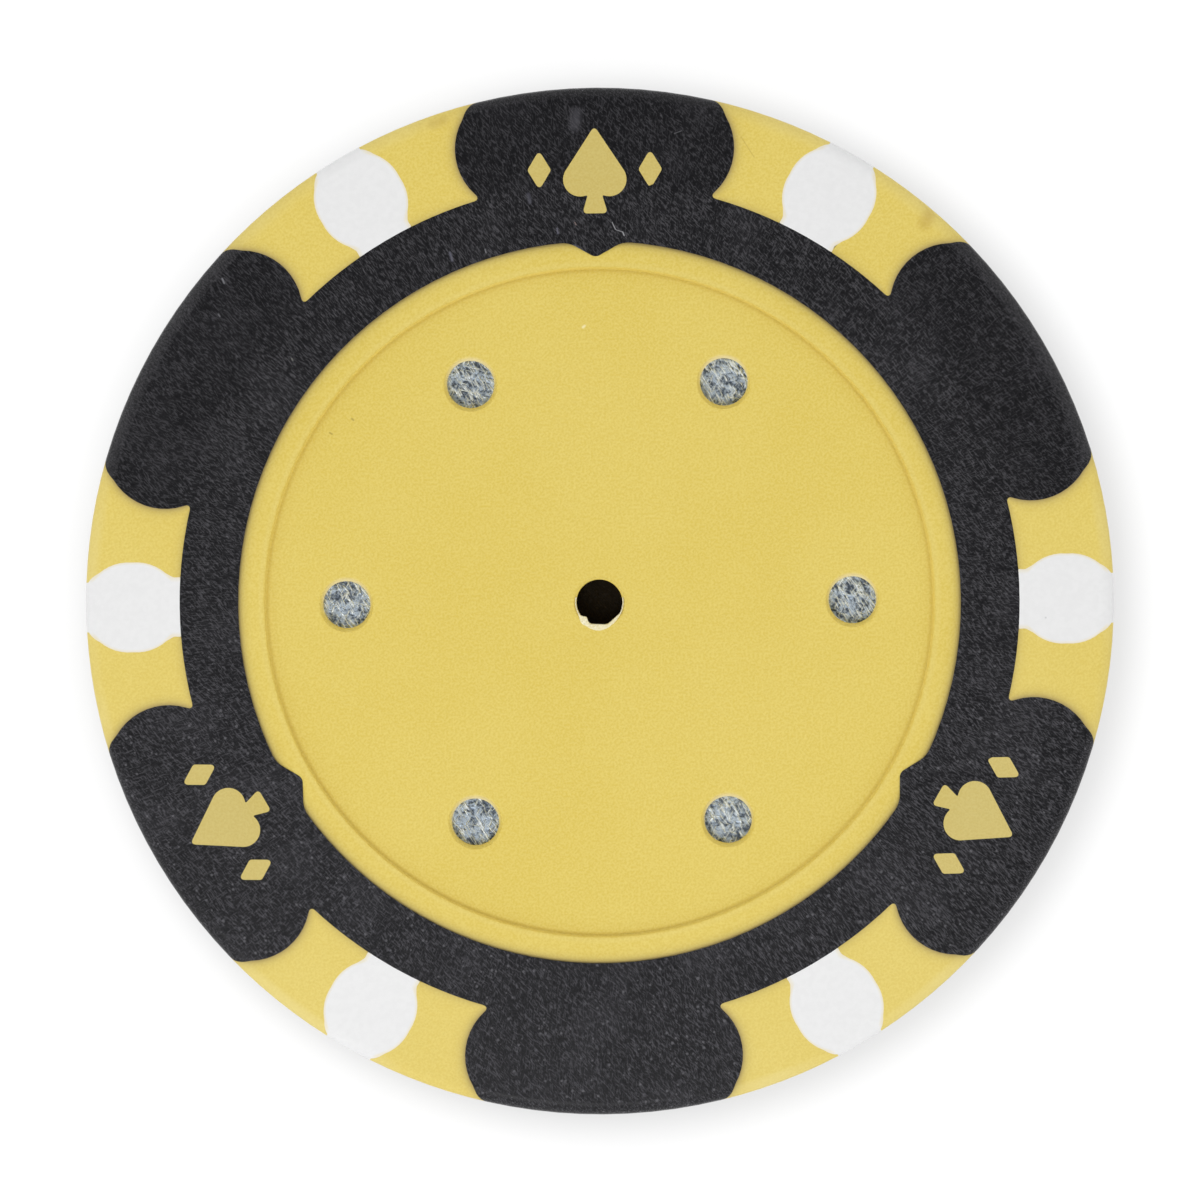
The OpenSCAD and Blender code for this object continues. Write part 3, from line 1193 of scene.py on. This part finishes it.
    def _round_corners(self, work: bmesh.types.BMesh) -> None:
        """Rounds the upright corners one by one.

        Args:
            work: The piece's mesh.
        """
        for edge in [edge for edge in work.edges if self._is_corner(edge)]:
            radius = self._corner_radius(edge.verts[0].co)
            beside = [near.calc_length() for end in edge.verts for near in end.link_edges if near is not edge]
            bmesh.ops.bevel(
                work,
                geom=[edge],
                offset=min(radius * math.tan(edge.calc_face_angle() / 2), self.clear_share * min(beside)),
                offset_type="OFFSET",
                segments=self.corner_steps,
                profile=self.corner_profile,
                affect="EDGES",
            )

    def _widen_mouths(self, work: bmesh.types.BMesh) -> None:
        """Widens and deepens the slopes at the mouths of the pin holes in the recess floors.

        Args:
            work: The piece's mesh.
        """
        recess = self.chip_thickness - RECESS_Z * MM
        for vertex in work.verts:
            turn = round(math.atan2(vertex.co.y, vertex.co.x) / SPOT_STEP) * SPOT_STEP
            axis = Vector((math.cos(turn), math.sin(turn))) * PIN_CIRCLE
            out = vertex.co.xy - axis
            upper = vertex.co.z > self.chip_thickness / 2
            depth = self.chip_thickness - vertex.co.z if upper else vertex.co.z
            if abs(out.length - self.pin_mouth) < self.near and abs(depth - recess) < self.near:
                vertex.co.xy = axis + out.normalized() * self.wide_mouth
            elif abs(out.length - PIN_ROUND) < self.near and depth < recess + self.mouth_depth:
                depth = recess + self.mouth_depth
                vertex.co.z = self.chip_thickness - depth if upper else depth

    def _on_slope(self, face: bmesh.types.BMFace) -> bool:
        """Tells whether a face is part of a slope at the rim.

        Args:
            face: A face of the piece's mesh.

        Returns:
            Whether it is one.
        """
        middle = face.calc_center_median()
        outward = face.normal.xy.dot(middle.xy.normalized())
        leans = min(outward, abs(face.normal.z)) > self.slope_lean
        return leans and middle.xy.length > self.chip_radius - self.slope_width

    def _round_shoulder(self, work: bmesh.types.BMesh) -> None:
        """Cuts the rim's slopes into strips and moves them onto a round shoulder.

        Args:
            work: The piece's mesh.
        """
        foot = self.chip_radius - self.slope_width
        for step in range(1, self.shoulder_steps):
            drop = step / self.shoulder_steps * self.slope_height
            for height in (self.chip_thickness - drop, drop):
                slopes = [face for face in work.faces if self._on_slope(face)]
                geom = list({part for face in slopes for part in (face, *face.edges, *face.verts)})
                cut = {"plane_co": (0, 0, height), "plane_no": (0, 0, 1)}
                bmesh.ops.bisect_plane(work, geom=geom, dist=self.weld, **cut)
        for vertex in work.verts:
            radius = vertex.co.xy.length
            depth = min(vertex.co.z, self.chip_thickness - vertex.co.z)
            if radius < foot - self.weld or not self.weld < depth < self.slope_height - self.weld:
                continue
            share = depth / self.slope_height
            if abs(radius - foot - share * self.slope_width) > self.slope_reach:
                continue
            turn = share * math.pi / 2
            out = math.sin(turn) ** (2 / self.shoulder_power)
            down = 1 - math.cos(turn) ** (2 / self.shoulder_power)
            vertex.co.xy *= (foot + out * self.slope_width) / radius
            moved = down * self.slope_height
            vertex.co.z = moved if vertex.co.z < self.chip_thickness / 2 else self.chip_thickness - moved

    def build(self, source: bpy.types.Object) -> bpy.types.Object:
        """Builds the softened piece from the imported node's mesh.

        Args:
            source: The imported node's object, which is left as it is.

        Returns:
            The new piece, riding on the part in the node's stead.
        """
        work = bmesh.new()
        work.from_mesh(source.data)
        bmesh.ops.remove_doubles(work, verts=work.verts, dist=self.weld)
        bmesh.ops.dissolve_limit(work, angle_limit=self.level, verts=work.verts, edges=work.edges)
        if self.slot is not Slot.BLACK:
            self._draw_in_necks(work)
        self._round_corners(work)
        self._widen_mouths(work)
        self._round_shoulder(work)
        for face in work.faces:
            face.smooth = True
        for edge in work.edges:
            edge.smooth = len(edge.link_faces) == 2 and edge.calc_face_angle(0.0) < self.sharp
        piece = mesh_object(f"{self.node}_softened", work)
        level_faces = piece.modifiers.new("level_faces", "WEIGHTED_NORMAL")
        level_faces.keep_sharp = True
        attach(piece, "root")
        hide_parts(self.node)
        return piece


@dataclass
class TornEdge:
    """The torn, whitened edge that the mould's gate left at the mouth of the upper middle hole.

    Attributes:
        mouth_round: Radius of the hole's mouth.
        mouth_back: How much wider the mouth is at the edge's two ends.
        flat_side: Distance from the axis of the straight stretches of the mouth.
        flat_turns: Directions in which those stretches lie, in degrees from +X.
        flat_limit: Cosine of the angle from such a direction up to which its stretch can reach.
        nib_turn: Direction of the nib that stands into the hole, in degrees from +X.
        nib_reach: How far the nib stands in.
        nib_spread: Half the width of the nib, in degrees.
        nib_back: How far the edge spreads outwards behind the nib.
        margin: How far the edge spreads outwards all along.
        spread: How much further it spreads at its widest.
        spread_turn: Direction in which it is widest, in degrees from +X.
        spread_power: How quickly that spread falls off to the sides.
        start: Direction in which it starts, in degrees from +X.
        end: Direction in which it ends.
        foot: Height of its lower side.
        crest: Height of its crest.
        crest_drop: Share of its height by which the crest is lower at the two ends.
        foot_back: How far its foot in the hole stands back from its nose.
        brow: How far behind the nose, and how far under the crest, its brow lies.
        crest_back: How far behind the nose the crest starts.
        saddle: How far outside its middle, and how far under the crest, its back starts to fall.
        sink: How far its outer side lies under the recess floor, and goes under its foot.
        steps: Number of strips along it.
    """

    mouth_round: float = 0.862 * MM
    mouth_back: float = 0.02 * MM
    flat_side: float = 0.817 * MM
    flat_turns: Span = (268.0, 311.0)
    flat_limit: float = 0.5
    nib_turn: float = 228.0
    nib_reach: float = 0.13 * MM
    nib_spread: float = 10.0
    nib_back: float = 0.14 * MM
    margin: float = 0.06 * MM
    spread: float = 0.19 * MM
    spread_turn: float = 264.0
    spread_power: int = 5
    start: float = 166.0
    end: float = 372.0
    foot: float = (RECESS_Z - 0.12) * MM
    crest: float = (RECESS_Z + 0.035) * MM
    crest_drop: float = 0.2
    foot_back: float = 0.015 * MM
    brow: Span = (0.02 * MM, 0.012 * MM)
    crest_back: float = 0.05 * MM
    saddle: Span = (0.02 * MM, 0.004 * MM)
    sink: float = 0.02 * MM
    steps: int = 160

    def _section(self, turn: float) -> List[Vector]:
        """Gives the corners of the edge's section in one direction.

        Args:
            turn: The direction, in degrees from +X.

        Returns:
            The corners from the foot inside the hole, over the crest, to the foot outside.
        """
        share = math.sqrt(max(math.sin(math.pi * (turn - self.start) / (self.end - self.start)), 0.0))
        nib = math.exp(-(((turn - self.nib_turn) / self.nib_spread) ** 2))
        mouth = self.mouth_round + self.mouth_back * (1 - share)
        slants = [math.cos(math.radians(turn - flat_turn)) for flat_turn in self.flat_turns]
        inner = min([mouth] + [self.flat_side / slant for slant in slants if slant > self.flat_limit])
        inner -= self.nib_reach * nib
        widest = max(math.cos(math.radians(turn - self.spread_turn)), 0.0) ** self.spread_power
        outer = mouth + (self.margin + widest * self.spread + nib * self.nib_back) * share
        crest = self.foot + (self.crest - self.foot) * (1 - self.crest_drop * (1 - share))
        flat_points = (
            (inner + self.foot_back, self.foot),
            (inner, (self.foot + crest) / 2),
            (inner + self.brow[0], crest - self.brow[1]),
            (inner + self.crest_back, crest),
            ((inner + outer) / 2 + self.saddle[0], crest - self.saddle[1]),
            (outer, RECESS_Z * MM - self.sink),
            (outer, self.foot - self.sink),
        )
        turned = Matrix.Rotation(math.radians(turn), 3, "Z")
        return [turned @ Vector((reach, 0.0, height)) for reach, height in flat_points]

    def build(self) -> bpy.types.Object:
        """Builds the torn edge as one closed strip.

        Returns:
            The new piece, riding on the part.
        """
        work = bmesh.new()
        turns = [self.start + (self.end - self.start) * step / self.steps for step in range(self.steps + 1)]
        rows = [[work.verts.new(point) for point in self._section(turn)] for turn in turns]
        for near, far in zip(rows, rows[1:]):
            for place in range(len(near)):
                after = (place + 1) % len(near)
                face = work.faces.new((near[place], near[after], far[after], far[place]))
                face.smooth = True
        for end in (reversed(rows[0]), rows[-1]):
            work.faces.new(list(end))
        bmesh.ops.recalc_face_normals(work, faces=work.faces)
        piece = mesh_object("torn_edge", work)
        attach(piece, "root")
        return piece


class Lamp(NamedTuple):
    """A round soft lamp that points at the middle of the chip.

    Attributes:
        name: Name of the lamp.
        place: Where it hangs, in millimetres.
        size: Diameter, in millimetres.
        power: Power in watts.
        floor_alone: Whether it lights the floor alone, or all but the floor.
    """

    name: str
    place: Tuple[float, float, float]
    size: float
    power: float
    floor_alone: bool

    def build(self, floor: bpy.types.Object) -> None:
        """Builds the lamp and picks what it lights.

        Args:
            floor: The floor.
        """
        data = bpy.data.lights.new(self.name, "AREA")
        data.shape = "DISK"
        data.size = self.size * MM
        data.energy = self.power
        lamp = link_object(self.name, data)
        lamp.location = Vector(self.place) * MM
        lamp.rotation_euler = lamp.location.to_track_quat("Z", "Y").to_euler()
        lit = bpy.data.collections.new(f"lit_by_{self.name}")
        lit.objects.link(floor)
        lit.collection_objects[0].light_linking.link_state = "INCLUDE" if self.floor_alone else "EXCLUDE"
        lamp.light_linking.receiver_collection = lit


@dataclass
class Stage:
    """The floor, the soft light and the white surround.

    Attributes:
        floor_radius: Radius of the floor.
        floor_sides: Number of straight stretches round the floor.
        floor_drop: How far the floor lies under the chip.
        floor_colour: Colour of the floor.
        floor_glow: How strongly the floor itself shines to the camera and in reflections.
        surround_colour: Colour of the light from around the chip.
        surround: Strength of that light.
        zenith: Strength of the light from straight above, where the camera hangs.
        zenith_edges: Angles from straight above between which that light grows to the surround's.
        lamps: The lamp that lights the chip, the one that casts its shadow, and the wide one over the floor.
    """

    floor_radius: float = 1.5
    floor_sides: int = 96
    floor_drop: float = 0.02 * MM
    floor_colour: Colour = (0.05, 0.05, 0.05, 1.0)
    floor_glow: float = 0.487
    surround_colour: Colour = (1.0, 1.0, 1.0, 1.0)
    surround: float = 1.11
    zenith: float = 0.1
    zenith_edges: Span = (28.0, 42.0)
    lamps: Tuple[Lamp, ...] = (
        Lamp("key_lamp", place=(-30, -83, 176), size=96, power=0.094, floor_alone=False),
        Lamp("floor_lamp", place=(-25, 20, 112), size=60, power=0.365, floor_alone=True),
        Lamp("wide_floor_lamp", place=(0, 0, 110), size=400, power=5.17, floor_alone=True),
    )

    def _floor(self) -> bpy.types.Object:
        """Makes the floor, a wide round sheet.

        Returns:
            The floor, marked as stage.
        """
        work = bmesh.new()
        bmesh.ops.create_circle(work, cap_ends=True, segments=self.floor_sides, radius=self.floor_radius)
        floor = mesh_object("studio_floor", work)
        floor.location.z = -self.floor_drop
        floor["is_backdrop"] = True
        return floor

    def _floor_material(self) -> bpy.types.Material:
        """Makes the floor's matt finish, which glows to the camera and keeps the chip's shadow.

        Returns:
            The new material.
        """
        made = bpy.data.materials.new("white_floor")
        made.use_nodes = True
        nodes = made.node_tree.nodes
        nodes.remove(nodes["Principled BSDF"])
        graph = Graph(made.node_tree)
        matt = graph.node("ShaderNodeBsdfDiffuse", self.floor_colour)
        path = graph.node("ShaderNodeLightPath").outputs
        seen = graph.math("MAXIMUM", path["Is Camera Ray"], path["Is Glossy Ray"])
        glow = graph.node("ShaderNodeEmission")
        graph.feed(glow.inputs["Strength"], graph.math("MULTIPLY", seen, self.floor_glow))
        both = graph.node("ShaderNodeAddShader", matt.outputs[0], glow.outputs[0])
        graph.feed(nodes["Material Output"].inputs["Surface"], both.outputs[0])
        return made

    def _surround(self) -> None:
        """Sets the world: even soft light, and plain white where the camera sees past the floor."""
        world = bpy.data.worlds.new("soft_surround")
        bpy.context.scene.world = world
        world.use_nodes = True
        graph = Graph(world.node_tree)
        back = world.node_tree.nodes["Background"]
        seen = graph.node("ShaderNodeLightPath").outputs["Is Camera Ray"]
        height = graph.parts(graph.node("ShaderNodeTexCoord").outputs["Generated"])[2]
        inner, outer = (math.cos(math.radians(angle)) for angle in self.zenith_edges)
        light = graph.remap(height, outer, inner, self.surround, self.zenith)
        graph.feed(back.inputs["Color"], self.surround_colour)
        graph.feed(back.inputs["Strength"], graph.math("MAXIMUM", seen, light))

    def build(self) -> None:
        """Builds the floor, the surround and the lamps."""
        floor = self._floor()
        floor.data.materials.append(self._floor_material())
        self._surround()
        for lamp in self.lamps:
            lamp.build(floor)


@dataclass
class PhotoCamera:
    """The camera, looking almost straight down on the chip.

    Attributes:
        lens: Focal length in millimetres.
        sensor: Width of the sensor in millimetres.
        clip: Nearest and furthest distance that it sees.
        frame_width: Width of the picture at the chip's rim.
        aim: Point that the picture's middle shows, in millimetres.
        tilt: Degrees that the camera leans from the chip's axis.
        lean: Direction of that lean, in degrees from +X.
        roll: Degrees that the camera is turned about its own axis.
    """

    lens: float = 250.0
    sensor: float = 36.0
    clip: Span = (0.01, 10.0)
    frame_width: float = 45.53 * MM
    aim: Tuple[float, float, float] = (0.023, 0.093, 2.9)
    tilt: float = 2.8
    lean: float = 68.0
    roll: float = -0.6

    def build(self) -> None:
        """Builds the camera and makes it the scene's own."""
        data = bpy.data.cameras.new("photo_camera")
        data.lens = self.lens
        data.sensor_width = self.sensor
        data.clip_start, data.clip_end = self.clip
        camera = link_object("photo_camera", data)
        tilt, lean, roll = (math.radians(angle) for angle in (self.tilt, self.lean, self.roll))
        back = Vector((math.sin(tilt) * math.cos(lean), math.sin(tilt) * math.sin(lean), math.cos(tilt)))
        up = Vector((-math.sin(roll), math.cos(roll), 0.0))
        right = up.cross(back).normalized()
        turned = Matrix((right, back.cross(right), back)).transposed().to_4x4()
        distance = self.lens / self.sensor * self.frame_width
        camera.matrix_world = Matrix.Translation(Vector(self.aim) * MM + back * distance) @ turned
        bpy.context.scene.camera = camera


def main() -> None:
    """Builds the chip's pieces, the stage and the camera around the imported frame."""
    logging.basicConfig(level=logging.INFO, format="%(name)s: %(message)s")
    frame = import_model()
    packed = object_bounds()
    low, high = packed
    chip_radius = (high.x - low.x) / 2
    chip_thickness = high.z - low.z
    bpy.context.scene.view_settings.view_transform = "Standard"
    effects = SharedEffects()
    plastics = (YellowPlastic(), BlackPlastic(), WhitePlastic())
    yellow, black, white = (finish.material(effects) for finish in plastics)
    moulded = [("yellow_core", Slot.YELLOW, yellow), ("black_frame", Slot.BLACK, black)]
    spots = sorted(name for name in frame["nodes"] if name.startswith("white_spot"))
    moulded += [(name, Slot.WHITE, white) for name in spots]
    for name, slot, material in moulded:
        piece = MouldedPiece(name, slot, chip_radius, chip_thickness).build(frame["nodes"][name])
        piece.data.materials.append(material)
        LOG.info("moulded piece %s: %d faces", piece.name, len(piece.data.polygons))
    edge = TornEdge().build()
    edge.data.materials.append(TornYellow().material(effects))
    LOG.info("torn edge: %d faces", len(edge.data.polygons))
    for name, finish in (("steel_slug", GalvanisedSteel()), ("centre_plug", ShadedBlack())):
        frame["nodes"][name].data.materials[0] = finish.material(effects)
        LOG.info("packed node %s: dressed in %s", name, finish.label)
    Stage().build()
    PhotoCamera().build()


if __name__ == "__main__":
    main()
